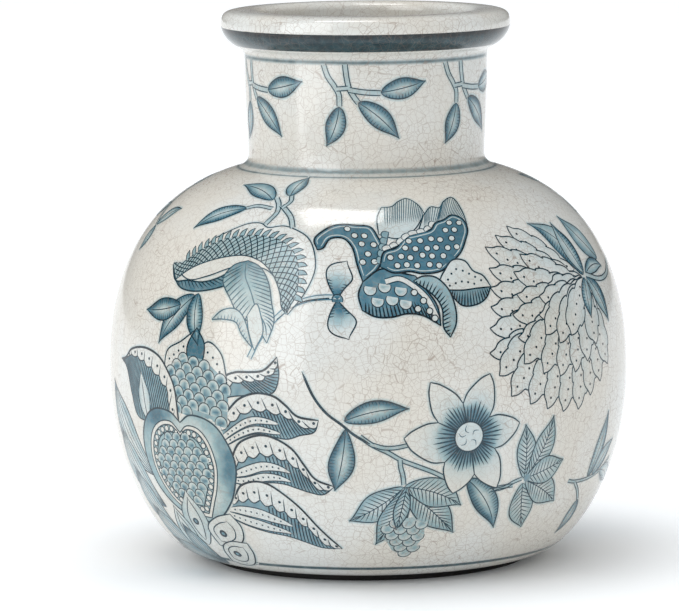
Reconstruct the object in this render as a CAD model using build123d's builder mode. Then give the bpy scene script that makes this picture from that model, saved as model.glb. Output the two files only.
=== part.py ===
"""A globular pottery vase with a short straight neck and a thick rolled lip, in millimetres.

The fired vase is a single ceramic object, made the way a potter makes it: sections that are
turned on their own, registered on small steps and luted together with slip before firing.
Every section is a solid of revolution about +Z, and the vase stands on z = 0.

From the bottom: foot_ring, lower_body, upper_body, neck_cordon, neck_collar, rolled_rim.

A point is (radius, height). A PULL is the control point that a curved wall leaves or reaches
its end towards, and a RISE is the length of such a pull along a vertical tangent.
"""

import os

from build123d import *

# Driving dimensions. Heights are measured from the surface that the vase stands on.
BELLY_RADIUS = 101.6  # widest part of the body
BELLY_HEIGHT = 75.0  # height of the widest part, where the two bowls are luted
TOTAL_HEIGHT = 215.0
WALL = 5.6  # thickness of the thrown wall at the belly
BORE_RADIUS = 41.0  # straight bore through the neck and the lip
STEP = 1.4  # depth of the registers that centre one section on the next

# Foot ring: plain bare clay, set in from the glazed edge.
FOOT_OUTER = 63.0
FOOT_INNER = 56.0
FOOT_REVEAL = 3.0  # gap between the surface below and the glazed edge
FOOT_EDGE = 0.8  # chamfer of the edges that the vase stands on

# Lower body, from the glazed edge to the belly.
BASE_RADIUS = 69.0
BASE_PULL = (82.3, 5.9)
LOWER_RISE = 40.1
FLOOR_RADIUS = 60.0  # flat part of the floor inside
FLOOR_HEIGHT = 10.5
FLOOR_PULL = (78.0, 12.5)
DISH_RADIUS = 53.0  # hollow under the floor, inside the foot ring
DISH_HEIGHT = FOOT_REVEAL + 2.2

# Upper body, from the belly to the cordon.
UPPER_RISE = 48.2
SHOULDER_PULL = (78.7, 146.1)
SHOULDER_RADIUS = 50.4
SHOULDER_HEIGHT = 153.6
UPPER_RISE_INSIDE = 46.0
SHOULDER_PULL_INSIDE = (76.0, 141.5)
THROAT_HEIGHT = 147.4  # where the inside of the shoulder opens into the neck

# Cordon, in the angle between the shoulder and the neck.
CORDON_SEAT = 152.0  # ledge in the shoulder that the cordon lies on
CORDON_TOP = 158.6
CORDON_PULL_LOW = (47.6, 154.6)
CORDON_PULL_HIGH = 156.2  # height at which the cove begins to leave the neck

# Neck: a tube that widens slightly upwards.
NECK_SEAT = 150.4  # ledge in the shoulder that the neck stands on
NECK_RADIUS = 46.2
NECK_TOP_RADIUS = 47.4
NECK_TOP = 196.9
NECK_FLARE = (166.0, 178.0)  # heights between which the neck widens

# Lip: a cove above the neck, a round underside, a flat-topped shoulder and a rounded mouth.
LIP_RADIUS = 56.5  # widest part of the lip
LIP_HEIGHT = 209.4  # height of that widest part
COVE_RISE = 2.1
COVE_PULL = (48.6, 199.6)
COVE_END = (50.0, 200.4)  # where the cove turns into the lip's underside
UNDER_PULL = (53.2, 202.0)
UNDER_RISE = 4.0
CREST_RADIUS = 46.0  # highest ring of the lip
CREST_PULL = 54.2  # radius up to which the top of the lip stays flat
LIP_RISE = 5.0
MOUTH_ROUND = 3.6  # height of the rounding from the crest into the bore
MOUTH_PULL = 2.6

INNER_BELLY = BELLY_RADIUS - WALL
BELLY_MIDDLE = BELLY_RADIUS - WALL / 2  # outside of the register step at the belly
NECK_MIDDLE = (BORE_RADIUS + NECK_RADIUS) / 2  # outside of the register step under the lip

os.makedirs("parts", exist_ok=True)


def save(builder, label):
    """Labels a finished section and writes it as parts/LABEL.step."""
    builder.part.label = label
    export_step(builder.part, f"parts/{label}.step")


# Foot ring: its top is let into a groove under the lower body.
with BuildPart() as foot_ring:
    with BuildSketch():
        Circle(FOOT_OUTER)
        Circle(FOOT_INNER, mode=Mode.SUBTRACT)
    extrude(amount=FOOT_REVEAL + STEP)
    chamfer(foot_ring.edges().group_by(Axis.Z)[0], FOOT_EDGE)
save(foot_ring, "foot_ring")

# Lower body: the floor and the wall up to the belly, where a step stands on its inner half.
with BuildPart() as lower_body:
    with BuildSketch(Plane.XZ):
        with BuildLine():
            Bezier(
                (BASE_RADIUS, FOOT_REVEAL),
                BASE_PULL,
                (BELLY_RADIUS, BELLY_HEIGHT - LOWER_RISE),
                (BELLY_RADIUS, BELLY_HEIGHT),
            )
            Polyline(
                (BELLY_RADIUS, BELLY_HEIGHT),
                (BELLY_MIDDLE, BELLY_HEIGHT),
                (BELLY_MIDDLE, BELLY_HEIGHT + STEP),
                (INNER_BELLY, BELLY_HEIGHT + STEP),
                (INNER_BELLY, BELLY_HEIGHT),
            )
            Bezier(
                (INNER_BELLY, BELLY_HEIGHT),
                (INNER_BELLY, BELLY_HEIGHT - LOWER_RISE),
                FLOOR_PULL,
                (FLOOR_RADIUS, FLOOR_HEIGHT),
            )
            Polyline(
                (FLOOR_RADIUS, FLOOR_HEIGHT),
                (0, FLOOR_HEIGHT),
                (0, DISH_HEIGHT),
                (DISH_RADIUS, DISH_HEIGHT),
                (FOOT_INNER, FOOT_REVEAL),
                (FOOT_INNER, FOOT_REVEAL + STEP),
                (FOOT_OUTER, FOOT_REVEAL + STEP),
                (FOOT_OUTER, FOOT_REVEAL),
                (BASE_RADIUS, FOOT_REVEAL),
            )
        make_face()
    revolve(axis=Axis.Z)
save(lower_body, "lower_body")

# Upper body: rebated at the belly, with two ledges at the top for the cordon and the neck.
with BuildPart() as upper_body:
    with BuildSketch(Plane.XZ):
        with BuildLine():
            Bezier(
                (BELLY_RADIUS, BELLY_HEIGHT),
                (BELLY_RADIUS, BELLY_HEIGHT + UPPER_RISE),
                SHOULDER_PULL,
                (SHOULDER_RADIUS, SHOULDER_HEIGHT),
            )
            Polyline(
                (SHOULDER_RADIUS, SHOULDER_HEIGHT),
                (SHOULDER_RADIUS, CORDON_SEAT),
                (NECK_RADIUS, CORDON_SEAT),
                (NECK_RADIUS, NECK_SEAT),
                (BORE_RADIUS, NECK_SEAT),
                (BORE_RADIUS, THROAT_HEIGHT),
            )
            Bezier(
                (BORE_RADIUS, THROAT_HEIGHT),
                SHOULDER_PULL_INSIDE,
                (INNER_BELLY, BELLY_HEIGHT + UPPER_RISE_INSIDE),
                (INNER_BELLY, BELLY_HEIGHT + STEP),
            )
            Polyline(
                (INNER_BELLY, BELLY_HEIGHT + STEP),
                (BELLY_MIDDLE, BELLY_HEIGHT + STEP),
                (BELLY_MIDDLE, BELLY_HEIGHT),
                (BELLY_RADIUS, BELLY_HEIGHT),
            )
        make_face()
    revolve(axis=Axis.Z)
save(upper_body, "upper_body")

# Neck cordon: a coil of clay smoothed into a cove between the shoulder and the neck.
with BuildPart() as neck_cordon:
    with BuildSketch(Plane.XZ):
        with BuildLine():
            Bezier(
                (SHOULDER_RADIUS, SHOULDER_HEIGHT),
                CORDON_PULL_LOW,
                (NECK_RADIUS, CORDON_PULL_HIGH),
                (NECK_RADIUS, CORDON_TOP),
            )
            Polyline(
                (NECK_RADIUS, CORDON_TOP),
                (NECK_RADIUS, CORDON_SEAT),
                (SHOULDER_RADIUS, CORDON_SEAT),
                (SHOULDER_RADIUS, SHOULDER_HEIGHT),
            )
        make_face()
    revolve(axis=Axis.Z)
save(neck_cordon, "neck_cordon")

# Neck collar: the tube of the neck, with a step on its inner half that centres the lip.
with BuildPart() as neck_collar:
    with BuildSketch(Plane.XZ):
        with BuildLine():
            Line((NECK_RADIUS, NECK_SEAT), (NECK_RADIUS, CORDON_TOP))
            Bezier(
                (NECK_RADIUS, CORDON_TOP),
                (NECK_RADIUS, NECK_FLARE[0]),
                (NECK_TOP_RADIUS, NECK_FLARE[1]),
                (NECK_TOP_RADIUS, NECK_TOP),
            )
            Polyline(
                (NECK_TOP_RADIUS, NECK_TOP),
                (NECK_MIDDLE, NECK_TOP),
                (NECK_MIDDLE, NECK_TOP + STEP),
                (BORE_RADIUS, NECK_TOP + STEP),
                (BORE_RADIUS, NECK_SEAT),
                (NECK_RADIUS, NECK_SEAT),
            )
        make_face()
    revolve(axis=Axis.Z)
save(neck_collar, "neck_collar")

# Rolled rim: the thick lip, rebated underneath onto the neck's step.
with BuildPart() as rolled_rim:
    with BuildSketch(Plane.XZ):
        with BuildLine():
            Bezier(
                (NECK_TOP_RADIUS, NECK_TOP),
                (NECK_TOP_RADIUS, NECK_TOP + COVE_RISE),
                COVE_PULL,
                COVE_END,
            )
            Bezier(
                COVE_END,
                UNDER_PULL,
                (LIP_RADIUS, LIP_HEIGHT - UNDER_RISE),
                (LIP_RADIUS, LIP_HEIGHT),
            )
            Bezier(
                (LIP_RADIUS, LIP_HEIGHT),
                (LIP_RADIUS, LIP_HEIGHT + LIP_RISE),
                (CREST_PULL, TOTAL_HEIGHT),
                (CREST_RADIUS, TOTAL_HEIGHT),
            )
            Bezier(
                (CREST_RADIUS, TOTAL_HEIGHT),
                (CREST_RADIUS - MOUTH_PULL, TOTAL_HEIGHT),
                (BORE_RADIUS, TOTAL_HEIGHT - MOUTH_ROUND + MOUTH_PULL),
                (BORE_RADIUS, TOTAL_HEIGHT - MOUTH_ROUND),
            )
            Polyline(
                (BORE_RADIUS, TOTAL_HEIGHT - MOUTH_ROUND),
                (BORE_RADIUS, NECK_TOP + STEP),
                (NECK_MIDDLE, NECK_TOP + STEP),
                (NECK_MIDDLE, NECK_TOP),
                (NECK_TOP_RADIUS, NECK_TOP),
            )
        make_face()
    revolve(axis=Axis.Z)
save(rolled_rim, "rolled_rim")
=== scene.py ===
"""A round pottery vase under a crackled off-white glaze, painted with blue flowers.

Sizes are in millimetres, in the CAD frame, and become metres when a mesh is made.
The body is turned from one outline. The painting is drawn flat, in small charts of the surface,
and then laid on the glaze: in a chart x runs to the right and y up, in millimetres from its centre.
A tone is how dark the blue is, from 0 for bare glaze to 1 for the darkest line.
"""

import math
import random

import bpy
import numpy as np
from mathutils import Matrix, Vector
from mathutils.geometry import delaunay_2d_cdt


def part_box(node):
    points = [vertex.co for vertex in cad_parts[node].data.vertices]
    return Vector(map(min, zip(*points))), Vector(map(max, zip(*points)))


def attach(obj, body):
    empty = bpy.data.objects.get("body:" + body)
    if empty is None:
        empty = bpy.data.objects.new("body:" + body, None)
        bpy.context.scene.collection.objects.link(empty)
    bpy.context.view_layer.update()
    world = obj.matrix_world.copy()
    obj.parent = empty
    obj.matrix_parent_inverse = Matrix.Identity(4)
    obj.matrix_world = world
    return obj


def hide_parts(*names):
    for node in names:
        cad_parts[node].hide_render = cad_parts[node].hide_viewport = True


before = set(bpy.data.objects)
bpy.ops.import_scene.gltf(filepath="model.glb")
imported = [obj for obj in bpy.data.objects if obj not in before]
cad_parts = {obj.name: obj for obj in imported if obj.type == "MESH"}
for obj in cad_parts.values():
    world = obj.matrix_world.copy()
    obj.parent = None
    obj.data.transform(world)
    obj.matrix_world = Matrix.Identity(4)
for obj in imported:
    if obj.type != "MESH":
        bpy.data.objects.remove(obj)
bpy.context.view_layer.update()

MM = 0.001
SEGMENTS = 320  # facets round the vase
RING_STEP = 1.4  # distance between the rings of a turned surface
FINE_STEP = 0.45  # the same where the outline curves tightly
INNER_STEP = 3.0  # the same on the faces that the glaze hides
INSET = 0.18  # how far the glaze lies inside the CAD surface, which leaves room for the painting
HALO_LIFT, WASH_LIFT, LINE_LIFT, DOT_LIFT = 0.02, 0.05, 0.08, 0.094  # the painting, above the glaze
BAND_LIFT = 0.03  # the rings round the vase, above the glaze
WASH_GRID = 2.0  # distance between the points inside a wash
CURVE_STEP = 0.8  # distance between the points of a painted curve


# ---------------------------------------------------------------- outline of the vase

def corners(node):
    """Largest radius, lowest height and highest height of a CAD node."""
    low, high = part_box(node)
    return high.x / MM, low.z / MM, high.z / MM


foot_radius, _, _ = corners("foot_ring")
belly_radius, base_height, _ = corners("lower_body")
_, belly_height, _ = corners("upper_body")
shoulder_radius, _, cordon_top = corners("neck_cordon")
neck_top_radius, _, _ = corners("neck_collar")
lip_radius, neck_top, total_height = corners("rolled_rim")
neck_radius = neck_top_radius - 1.2
bore_radius = neck_radius - 5.2
base_radius = foot_radius + 6.0
shoulder_height = cordon_top - 5.0
lip_height = total_height - 5.6
inner_radius = belly_radius - 5.6
floor_height = base_height + 7.5


def bezier(*points, count=160):
    """Points along the Bezier curve with these control points."""
    t = np.linspace(0, 1, count)[:, None]
    rows = [np.array(p, float) for p in points]
    while len(rows) > 1:
        rows = [a * (1 - t) + b * t for a, b in zip(rows[:-1], rows[1:])]
    return rows[0]


LOWER = bezier((base_radius, base_height), (82.3, 5.9),
               (belly_radius, belly_height - 40.1), (belly_radius, belly_height))
UPPER = bezier((belly_radius, belly_height), (belly_radius, belly_height + 48.2),
               (78.7, 146.1), (shoulder_radius, shoulder_height))
CORDON = bezier((shoulder_radius, shoulder_height), (47.6, 154.6),
                (neck_radius, 156.2), (neck_radius, cordon_top), count=40)
NECK = bezier((neck_radius, cordon_top), (neck_radius, 166.0),
              (neck_top_radius, 178.0), (neck_top_radius, neck_top))
COVE = bezier((neck_top_radius, neck_top), (neck_top_radius, 199.0),
              (48.6, 199.6), (50.0, 200.4), count=30)
UNDER = bezier((50.0, 200.4), (53.2, 202.0), (lip_radius, 205.4), (lip_radius, lip_height), count=60)
CREST = bezier((lip_radius, lip_height), (lip_radius, 214.4),
               (54.2, total_height), (46.0, total_height), count=60)
MOUTH = bezier((46.0, total_height), (43.4, total_height),
               (bore_radius, 214.0), (bore_radius, 211.4), count=30)


def normals_of(line):
    """Unit normals on the right-hand side of a line of (radius, height) points."""
    step = np.gradient(line, axis=0)
    side = np.stack([step[:, 1], -step[:, 0]], axis=1)
    return side / np.linalg.norm(side, axis=1, keepdims=True)


def join(*lines):
    """The lines one after another, without the doubled points where they meet."""
    return np.vstack([lines[0]] + [line[1:] for line in lines[1:]])


def lengths(line):
    """Distance along a line at each of its points."""
    return np.concatenate([[0], np.cumsum(np.linalg.norm(np.diff(line, axis=0), axis=1))])


OUTSIDE = join(LOWER, UPPER, CORDON, NECK, COVE, UNDER, CREST, MOUTH)
OUTSIDE_NORMALS = normals_of(OUTSIDE)
OUTSIDE_S = lengths(OUTSIDE) - lengths(LOWER)[-1]  # distance along the outside, up from the belly


def outside(s, lift):
    """Radius and height, then the normal's radial and upward parts, of the glaze at distance s."""
    n_r = np.interp(s, OUTSIDE_S, OUTSIDE_NORMALS[:, 0])
    n_z = np.interp(s, OUTSIDE_S, OUTSIDE_NORMALS[:, 1])
    radius = np.interp(s, OUTSIDE_S, OUTSIDE[:, 0]) + n_r * (lift - INSET)
    height = np.interp(s, OUTSIDE_S, OUTSIDE[:, 1]) + n_z * (lift - INSET)
    return radius, height, n_r, n_z


def s_at(height):
    """Distance along the outside at a height below the widest ring of the lip."""
    below = OUTSIDE[:, 1] <= lip_height
    return float(np.interp(height, OUTSIDE[below, 1], OUTSIDE_S[below]))


# ---------------------------------------------------------------- materials

def srgb(r, g, b):
    """The linear colour of an sRGB one given from 0 to 255."""
    return tuple(((c / 255 + 0.055) / 1.055) ** 2.4 if c > 10 else c / 3295 for c in (r, g, b)) + (1.0,)


class Nodes:
    """Short ways to add shader nodes to a node tree."""

    def __init__(self, tree):
        self.nodes = tree.nodes
        self.links = tree.links

    def add(self, kind, inputs=(), **settings):
        node = self.nodes.new("ShaderNode" + kind)
        for key, value in settings.items():
            setattr(node, key, value)
        for key, value in dict(inputs).items():
            self.put(node.inputs[key], value)
        return node

    def put(self, socket, value):
        if isinstance(value, bpy.types.NodeSocket):
            self.links.new(value, socket)
        else:
            socket.default_value = value


class Shader(Nodes):
    """A new material with one Principled shader."""

    def __init__(self, name):
        self.material = bpy.data.materials.new(name)
        self.material.use_nodes = True
        super().__init__(self.material.node_tree)
        self.principled = self.nodes["Principled BSDF"]

    def shade(self, **inputs):
        """Sets inputs of the Principled shader, named with _ for each space."""
        for key, value in inputs.items():
            self.put(self.principled.inputs[key.replace("_", " ")], value)
        return self.material

    def maths(self, operation, a, b):
        return self.add("Math", {0: a, 1: b}, operation=operation).outputs[0]

    def ranged(self, value, low, high, start=0.0, end=1.0):
        """The value, eased from start at low to end at high."""
        node = self.add("MapRange", {"Value": value, "From Min": low, "From Max": high,
                                     "To Min": start, "To Max": end}, interpolation_type="SMOOTHSTEP")
        return node.outputs["Result"]

    def noise(self, place, scale, detail=2.0):
        return self.add("TexNoise", {"Vector": place, "Scale": scale, "Detail": detail}).outputs["Fac"]

    def blend(self, mode, factor, a, b):
        node = self.add("Mix", {0: factor, 6: a, 7: b}, data_type="RGBA", blend_type=mode)
        return node.outputs[2]

    def ramp(self, value, stops):
        node = self.add("ValToRGB", {"Fac": value})
        elements = node.color_ramp.elements
        while len(elements) < len(stops):
            elements.new(0.5)
        for element, (position, colour) in zip(elements, stops):
            element.position = position
            element.color = colour
        return node.outputs["Color"]


INKS = (
    (0.00, srgb(219, 221, 218)),
    (0.14, srgb(194, 207, 209)),
    (0.34, srgb(146, 176, 184)),
    (0.58, srgb(74, 119, 138)),
    (0.80, srgb(31, 70, 86)),
    (1.00, srgb(10, 31, 41)),
)
RING_INKS = (
    (0.00, srgb(219, 221, 218)),
    (0.30, srgb(180, 190, 192)),
    (0.50, srgb(134, 152, 157)),
    (0.75, srgb(52, 82, 91)),
    (1.00, srgb(6, 22, 30)),
)
# The foot ring's near-black is a dark clay colour, darkened further as painted shade of the shadowed gap
# under the body.
CLAY_AND_SHADE_COLOURS = (
    (0.30, srgb(15, 13, 12)),
    (0.55, srgb(21, 18, 17)),
    (0.75, srgb(30, 27, 25)),
)
CRACK = srgb(144, 124, 110)
PALE_PATCH = (1.0, 1.0, 1.0, 1.0)
WARM_PATCH = srgb(250, 244, 237)


def crackle(shader, place):
    """How much a point lies in one of the glaze's fine cracks, from 0 to 1."""
    bend = shader.add("TexNoise", {"Vector": place, "Scale": 90.0, "Detail": 1.0}).outputs["Color"]
    push = shader.add("VectorMath", {0: bend, "Scale": 0.0035}, operation="SCALE").outputs[0]
    bent = shader.add("VectorMath", {0: place, 1: push}, operation="ADD").outputs[0]
    cracks = []
    for scale, width, strength in ((285.0, 0.036, 1.0), (460.0, 0.043, 0.8)):
        edge = shader.add("TexVoronoi", {"Vector": bent, "Scale": scale, "Randomness": 0.8},
                          feature="DISTANCE_TO_EDGE").outputs["Distance"]
        cracks.append(shader.ranged(edge, 0.0, width, strength, 0.0))
    both = shader.maths("MAXIMUM", cracks[0], cracks[1])
    stained = shader.ranged(shader.noise(place, 34.0, 3.0), 0.32, 0.66, 0.45, 1.0)
    return shader.maths("MULTIPLY", both, stained)


def glaze(name, inks):
    """Clear gloss over off-white slip and blue painting, with brown-stained crackle."""
    shader = Shader(name)
    place = shader.add("TexCoord").outputs["Object"]
    tone = shader.add("Attribute", attribute_name="tone").outputs["Fac"]
    cloud = shader.ranged(shader.noise(place, 260.0, 4.0), 0.25, 0.75, -0.06, 0.06)
    uneven = shader.maths("ADD", tone, shader.maths("MULTIPLY", cloud, shader.ranged(tone, 0.0, 0.3)))
    ink = shader.ramp(uneven, inks)
    patches = shader.blend("MIX", shader.ranged(shader.noise(place, 22.0, 3.0), 0.35, 0.65),
                           PALE_PATCH, WARM_PATCH)
    body = shader.blend("MULTIPLY", 1.0, ink, patches)
    crack = crackle(shader, place)
    strength = 0.66  # of the cracks on bare glaze
    fade = shader.maths("MULTIPLY", crack, shader.ranged(tone, 0.2, 1.0, strength, strength * 0.35))
    colour = shader.blend("MIX", fade, body, CRACK)
    roughness = shader.ranged(shader.noise(place, 60.0, 3.0), 0.3, 0.7, 0.07, 0.11)
    orange_peel = shader.noise(place, 120.0)
    height = shader.maths("SUBTRACT", orange_peel, shader.maths("MULTIPLY", crack, 0.25))
    bump = shader.add("Bump", {"Strength": 0.06, "Distance": 0.0006, "Height": height})
    return shader.shade(Base_Color=colour, IOR=1.5, Roughness=roughness, Normal=bump.outputs["Normal"])


def clay():
    """Bare fired clay, matt and sandy, coloured near-black: a dark clay darkened further as painted shade of
    the gap under the body.
    """
    shader = Shader("bare_clay")
    place = shader.add("TexCoord").outputs["Object"]
    grains = shader.noise(place, 1500.0, 4.0)
    colour = shader.ramp(grains, CLAY_AND_SHADE_COLOURS)
    bump = shader.add("Bump", {"Strength": 0.5, "Distance": 0.0003, "Height": grains})
    return shader.shade(Base_Color=colour, Roughness=0.85, Normal=bump.outputs["Normal"])


GLAZE = glaze("crackle_glaze", INKS)
PAINT = glaze("blue_slip", INKS)
RING_PAINT = glaze("ring_slip", RING_INKS)
CLAY = clay()


# ---------------------------------------------------------------- turned pieces

FACETS = np.arange(SEGMENTS) * 2 * math.pi / SEGMENTS
SPIN = np.stack([np.sin(FACETS), -np.cos(FACETS)], axis=1)  # the way out at each facet


def resampled(line, step):
    """The line with evenly spaced points, about this far apart."""
    along = lengths(line)
    count = max(2, int(round(along[-1] / step)) + 1)
    at = np.linspace(0, along[-1], count)
    return np.stack([np.interp(at, along, line[:, k]) for k in (0, 1)], axis=1)


def set_tones(mesh, tones):
    """Gives each point of a mesh its tone, which the glaze reads."""
    mesh.attributes.new("tone", "FLOAT", "POINT").data.foreach_set("value", tones.astype(np.float32))


def finished(mesh, name, normals, material):
    """Gives a mesh its true normals and material, and makes it a piece of the vase."""
    mesh.shade_smooth()
    mesh.normals_split_custom_set(normals)
    mesh.materials.append(material)
    piece = bpy.data.objects.new(name, mesh)
    bpy.context.scene.collection.objects.link(piece)
    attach(piece, "root")
    return piece


def spun(radial, upward):
    """Vectors with these radial and upward parts, carried round the vase: rows, facets, x y z."""
    vectors = np.empty((len(radial), SEGMENTS, 3))
    vectors[:, :, :2] = np.reshape(radial, (-1, 1, 1)) * SPIN
    vectors[:, :, 2] = np.reshape(upward, (-1, 1))
    return vectors


def ring_quads(low, high):
    """The faces between two rings, given by their numbers."""
    here = np.arange(SEGMENTS)
    after = (here + 1) % SEGMENTS
    return np.stack([low * SEGMENTS + here, low * SEGMENTS + after,
                     high * SEGMENTS + after, high * SEGMENTS + here], axis=1)


def turned(name, strips, material, nodes):
    """A closed solid of revolution. Each strip is a smooth run of (radius, height) points, the last
    ends where the first begins, and the outline runs so that the outside is on its right."""
    total = sum(len(strip) - 1 for strip in strips)
    rings, quads, corner_normals = [], [], []
    for strip in strips:
        sides = spun(*normals_of(strip).T)
        for row in range(len(strip) - 1):
            quads.append(ring_quads(len(rings), (len(rings) + 1) % total))
            rings.append(strip[row])
            low, high = sides[row], sides[row + 1]
            low_after, high_after = (np.roll(side, -1, axis=0) for side in (low, high))
            corner_normals.append(np.stack([low, low_after, high_after, high], axis=1))
    points = spun(*(np.array(rings) * MM).T)
    mesh = bpy.data.meshes.new(name)
    mesh.from_pydata(points.reshape(-1, 3).tolist(), [], np.concatenate(quads).tolist())
    piece = finished(mesh, name, np.concatenate(corner_normals).reshape(-1, 3).tolist(), material)
    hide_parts(*nodes)
    return piece


def skin(line, step=RING_STEP):
    """An outside line, moved in to where the glaze lies, with even rings."""
    return resampled(line - normals_of(line) * INSET, step)


def straights(*points):
    """A straight run from each point to the next, with rings along it."""
    return [resampled(np.array(pair, float), INNER_STEP) for pair in zip(points[:-1], points[1:])]


def glazed_body():
    """The five glazed sections, each closed by plain faces inside the wall."""
    hub = 0.6  # radius of the small hole left on the axis, where the rings would meet in a point
    underside = base_height + 2.2
    recess_radius, edge_radius = 53.0, 56.0  # of the flat under the floor, and of the edge round it
    bore_low = 147.4
    inner_low = bezier((inner_radius, belly_height), (inner_radius, belly_height - 40.1),
                       (78.0, floor_height + 2.0), (60.0, floor_height))
    inner_high = bezier((bore_radius, bore_low), (76.0, 141.5),
                        (inner_radius, belly_height + 46.0), (inner_radius, belly_height))
    in_low, in_high = resampled(inner_low, INNER_STEP), resampled(inner_high, INNER_STEP)
    lower, upper, cordon, neck = skin(LOWER), skin(UPPER), skin(CORDON, FINE_STEP), skin(NECK)
    lip = skin(join(COVE, UNDER, CREST, MOUTH), FINE_STEP)
    turned("lower_body_glaze", [
        lower, *straights(lower[-1], in_low[0]), in_low,
        *straights(in_low[-1], (hub, floor_height), (hub, underside), (recess_radius, underside),
                   (edge_radius, base_height), lower[0])], GLAZE, ["lower_body"])
    turned("upper_body_glaze", [
        upper, *straights(upper[-1], in_high[0]), in_high, *straights(in_high[-1], upper[0])],
        GLAZE, ["upper_body"])
    seat = neck_radius - 0.6  # radius of the joint between the cordon and the neck
    turned("neck_cordon_glaze", [
        cordon, *straights(cordon[-1], (seat, cordon[-1][1]), (seat, cordon[0][1]), cordon[0])],
        PAINT, ["neck_cordon"])
    inside_seat = seat - 0.1
    turned("neck_collar_glaze", [
        neck, *straights(neck[-1], (bore_radius, neck[-1][1]), (bore_radius, bore_low), upper[-1],
                         (inside_seat, cordon[0][1]), (inside_seat, neck[0][1]), neck[0])],
        GLAZE, ["neck_collar"])
    turned("rolled_rim_glaze", [lip, *straights(lip[-1], (lip[-1][0], neck_top), lip[0])],
           GLAZE, ["rolled_rim"])
    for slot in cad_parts["foot_ring"].material_slots:
        slot.material = CLAY


# ---------------------------------------------------------------- lines and shapes in a chart

def curve(points):
    """A smooth line through the points, evenly divided."""
    points = np.array(points, float)
    if len(points) == 2:
        return resampled(points, CURVE_STEP)
    ends = np.vstack([2 * points[0] - points[1], points, 2 * points[-1] - points[-2]])
    t = np.linspace(0, 1, 16, endpoint=False)[:, None]
    runs = []
    for a, b, c, d in zip(ends[:-3], ends[1:-2], ends[2:-1], ends[3:]):
        runs.append(0.5 * (2 * b + (c - a) * t + (2 * a - 5 * b + 4 * c - d) * t ** 2
                           + (3 * b - a - 3 * c + d) * t ** 3))
    return resampled(np.vstack(runs + [points[-1:]]), CURVE_STEP)


def sides_of(line):
    """Unit vectors to the left of a line."""
    step = np.gradient(line, axis=0)
    side = np.stack([-step[:, 1], step[:, 0]], axis=1)
    return side / np.maximum(np.linalg.norm(side, axis=1, keepdims=True), 1e-9)


def shifted(line, distance):
    """The line, moved to its left by a distance, or by one for each point."""
    return line + sides_of(line) * np.reshape(distance, (-1, 1))


def edges_along(base, tip, bow, half):
    """Left edge, rib and right edge of a leaf, from the bow of its rib to the left and half its width,
    which are both given in millimetres at even steps from base to tip."""
    along = (tip - base) / np.linalg.norm(tip - base)
    left = np.array([-along[1], along[0]])
    rib = base + (tip - base) * np.linspace(0, 1, len(half))[:, None] + left * bow[:, None]
    half[0] = half[-1] = 0
    return shifted(rib, half), rib, shifted(rib, -half)


def leaf_edges(base, tip, width, bend, fullest):
    """The same for a pointed leaf. A positive bend bows the rib to its left."""
    base, tip = np.array(base, float), np.array(tip, float)
    length = np.linalg.norm(tip - base)
    t = np.linspace(0, 1, max(8, int(length / CURVE_STEP)))
    half = width / 2 * np.abs(np.sin(math.pi * t ** (math.log(0.5) / math.log(fullest)))) ** (0.7 + 0.7 * t)
    return edges_along(base, tip, bend * length * 4 * t * (1 - t), half)


def closed(there, back):
    """A closed outline that runs along one line, and back along another with the same ends."""
    return np.vstack([there, back[-2:0:-1]])


def arc(centre, radius, directions):
    """Points on a circle, at directions in degrees."""
    turns = np.radians(directions)
    return np.array(centre) + radius * np.stack([np.cos(turns), np.sin(turns)], axis=1)


def boxed(points, outline):
    """Which of the points lie in the upright box round an outline."""
    return ((points > outline.min(axis=0)) & (points < outline.max(axis=0))).all(axis=1)


def turns_left(outline):
    """Whether a closed outline runs anticlockwise."""
    x, y = outline[:, 0], outline[:, 1]
    return (x * np.roll(y, -1) - y * np.roll(x, -1)).sum() > 0


def between(top, bottom):
    """The patch between two curves: a point for a share u along both and a share v across."""
    first, second = curve(top), curve(bottom)

    def at(u, v):
        u, v = np.broadcast_arrays(np.asarray(u, float), np.asarray(v, float))
        ends = []
        for line in (first, second):
            share = lengths(line) / lengths(line)[-1]
            ends.append(np.stack([np.interp(u, share, line[:, axis]) for axis in (0, 1)], axis=-1))
        return ends[0] + (ends[1] - ends[0]) * v[..., None]
    return at


def inside(points, outline):
    """Which of the points lie inside a closed outline."""
    x, y = points[:, 0:1], points[:, 1:2]
    x1, y1 = outline[:, 0], outline[:, 1]
    x2, y2 = np.roll(x1, -1), np.roll(y1, -1)
    with np.errstate(divide="ignore", invalid="ignore"):
        crossing = ((y1 > y) != (y2 > y)) & (x < (x2 - x1) * (y - y1) / (y2 - y1) + x1)
    return crossing.sum(axis=1) % 2 == 1


def near(line, close, far, reach):
    """A tone that is close to one value at a line, and eases to another at some reach from it."""
    def tone(points):
        gap = np.linalg.norm(points[:, None] - line[None], axis=2).min(axis=1)
        return close + (far - close) * np.clip(gap / reach, 0, 1)
    return tone


def around(centre, radii, tones):
    """A tone that depends on the distance from a centre."""
    return lambda points: np.interp(np.linalg.norm(points - np.array(centre), axis=1), radii, tones)


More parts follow.
